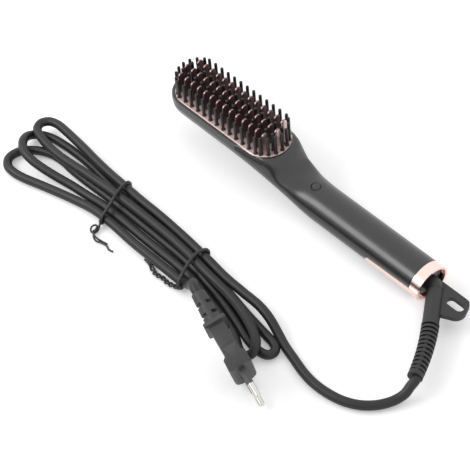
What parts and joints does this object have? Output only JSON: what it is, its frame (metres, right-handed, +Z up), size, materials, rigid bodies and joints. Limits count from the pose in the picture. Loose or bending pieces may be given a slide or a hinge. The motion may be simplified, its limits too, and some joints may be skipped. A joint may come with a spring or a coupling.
{
  "type": "heated straightening comb",
  "caption": "Heated straightening comb with a finned bristle head, an oval handle, a swivel cord with a hanging tab, folded in a tied hank, and a two-pin plug.",
  "frame": {"origin": "middle of the body between nose and collar, on the surface the handle rests on", "axes": "+X along the handle towards the cord end, +Y to the left of the head, +Z up, the way the bristles point"},
  "size_m": [0.3189, 0.1535, 0.0475],
  "materials": {
    "black_shell": "satin",
    "rose_plate": "satin",
    "rose_collar": "polished",
    "black_bristle": "satin",
    "steel": "satin",
    "heater_ceramic": "matte",
    "amber_film": "gloss",
    "heat_resin": "matte",
    "lens": "gloss",
    "led": "gloss",
    "switch_red": "satin",
    "board_green": "satin",
    "part_red": "gloss",
    "part_black": "matte",
    "lead_white": "satin",
    "lead_blue": "satin",
    "relief_black": "satin",
    "cord_black": "satin",
    "tie_black": "satin",
    "plug_black": "satin",
    "pin_metal": "polished",
    "sleeve_grey": "satin"
  },
  "bodies": {
    "handle": {"upper_shell": "black_shell", "lower_shell": "black_shell", "heating_plate": "rose_plate", "comb_fins": "rose_plate", "bristles": "black_bristle", "heater_film": "amber_film", "heater_elements": "heater_ceramic", "heater_clamp": "steel", "heater_tray": "heat_resin", "plate_screws": "steel", "thermal_fuse": "heat_resin", "temperature_sensor": "amber_film", "tact_switch": "part_black", "indicator_lenses": "lens", "indicator_leds": "led", "circuit_board": "board_green", "power_capacitor": "part_red", "power_triac": "part_black", "shell_screws": "steel", "heater_leads": "lead_white", "power_leads": "lead_blue", "end_collar": "rose_collar", "end_cap": "black_shell"},
    "button": {"power_button": "black_shell", "switch_plunger": "switch_red"},
    "swivel": {"strain_relief": "relief_black", "swivel_retainer": "steel", "cord_lead": "cord_black", "cord_hank": "cord_black", "cord_tail": "cord_black", "cord_ties": "tie_black", "plug_body": "plug_black", "plug_pins": "pin_metal", "pin_sleeves": "sleeve_grey"}
  },
  "joints": [
    {"name": "button_press", "type": "slide", "parent": "handle", "child": "button", "axis": [0, 0, -1], "range_m": [0, 0.0006], "stiffness_N_per_m": 2500},
    {"name": "cord_swivel", "type": "hinge", "parent": "handle", "child": "swivel", "pos_m": [0.1, 0, 0.0105], "axis": [1, 0, 0], "range_deg": [-170, 170]}
  ]
}
